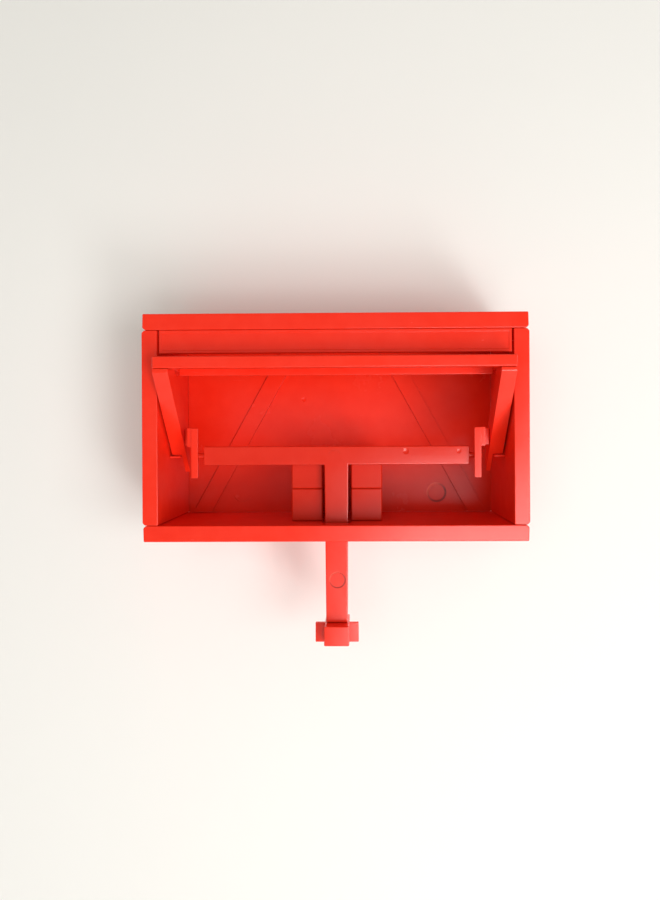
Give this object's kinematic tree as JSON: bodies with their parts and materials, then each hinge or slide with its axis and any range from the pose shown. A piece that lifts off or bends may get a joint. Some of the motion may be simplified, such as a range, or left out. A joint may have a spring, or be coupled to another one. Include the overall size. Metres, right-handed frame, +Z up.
{
  "type": "wall-hung newspaper dispenser box",
  "caption": "Open red moulded box hung by its rear face, with a tipping flap in its upper half and a T-shaped pull lever with a cross grip below",
  "frame": {"origin": "centre of the back panel's rear face, which rests on the wall", "axes": "+Z up, +X to the right as seen from in front, +Y into the wall; the open side faces -Y"},
  "size_m": [0.4, 0.155, 0.347],
  "materials": {
    "housing_red": "satin moulded, orange-red",
    "flap_red": "satin moulded, orange-red",
    "lever_red": "satin moulded, orange-red",
    "steel": "zinc-plated",
    "bush_white": "natural acetal"
  },
  "bodies": {
    "housing": {"back_panel": "housing_red", "top_plate": "housing_red", "bottom_plate": "housing_red", "header_panel": "housing_red", "left_side_wall": "housing_red", "left_stop_ledge": "housing_red", "left_guide_block": "housing_red", "left_guide_pad": "housing_red", "left_pivot_pin": "steel", "right_side_wall": "housing_red", "right_stop_ledge": "housing_red", "right_guide_block": "housing_red", "right_guide_pad": "housing_red", "right_pivot_pin": "steel", "housing_screw_1": "steel", "housing_screw_2": "steel", "housing_screw_3": "steel", "housing_screw_4": "steel", "housing_screw_5": "steel", "housing_screw_6": "steel", "housing_screw_7": "steel", "housing_screw_8": "steel"},
    "flap": {"flap_rail": "flap_red", "flap_panel": "flap_red", "left_cheek": "flap_red", "left_hook_arm": "flap_red", "left_pivot_bush": "bush_white", "right_cheek": "flap_red", "right_hook_arm": "flap_red", "right_pivot_bush": "bush_white"},
    "lever": {"lever_tee": "lever_red", "left_end_pin": "lever_red", "right_end_pin": "lever_red", "cross_grip": "lever_red", "grip_screw": "steel"}
  },
  "joints": [
    {"name": "flap_hinge", "type": "hinge", "parent": "housing", "child": "flap", "pos_m": [0, -0.078, -0.018], "axis": [1, 0, 0], "range_deg": [-4, 30]},
    {"name": "lever_slide", "type": "slide", "parent": "housing", "child": "lever", "axis": [0, 0, -1], "range_m": [-0.0018, 0.0132]}
  ],
  "couplings": [
    {"joint": "lever_slide", "follows": "flap_hinge", "m_per_rad": 0.025}
  ]
}
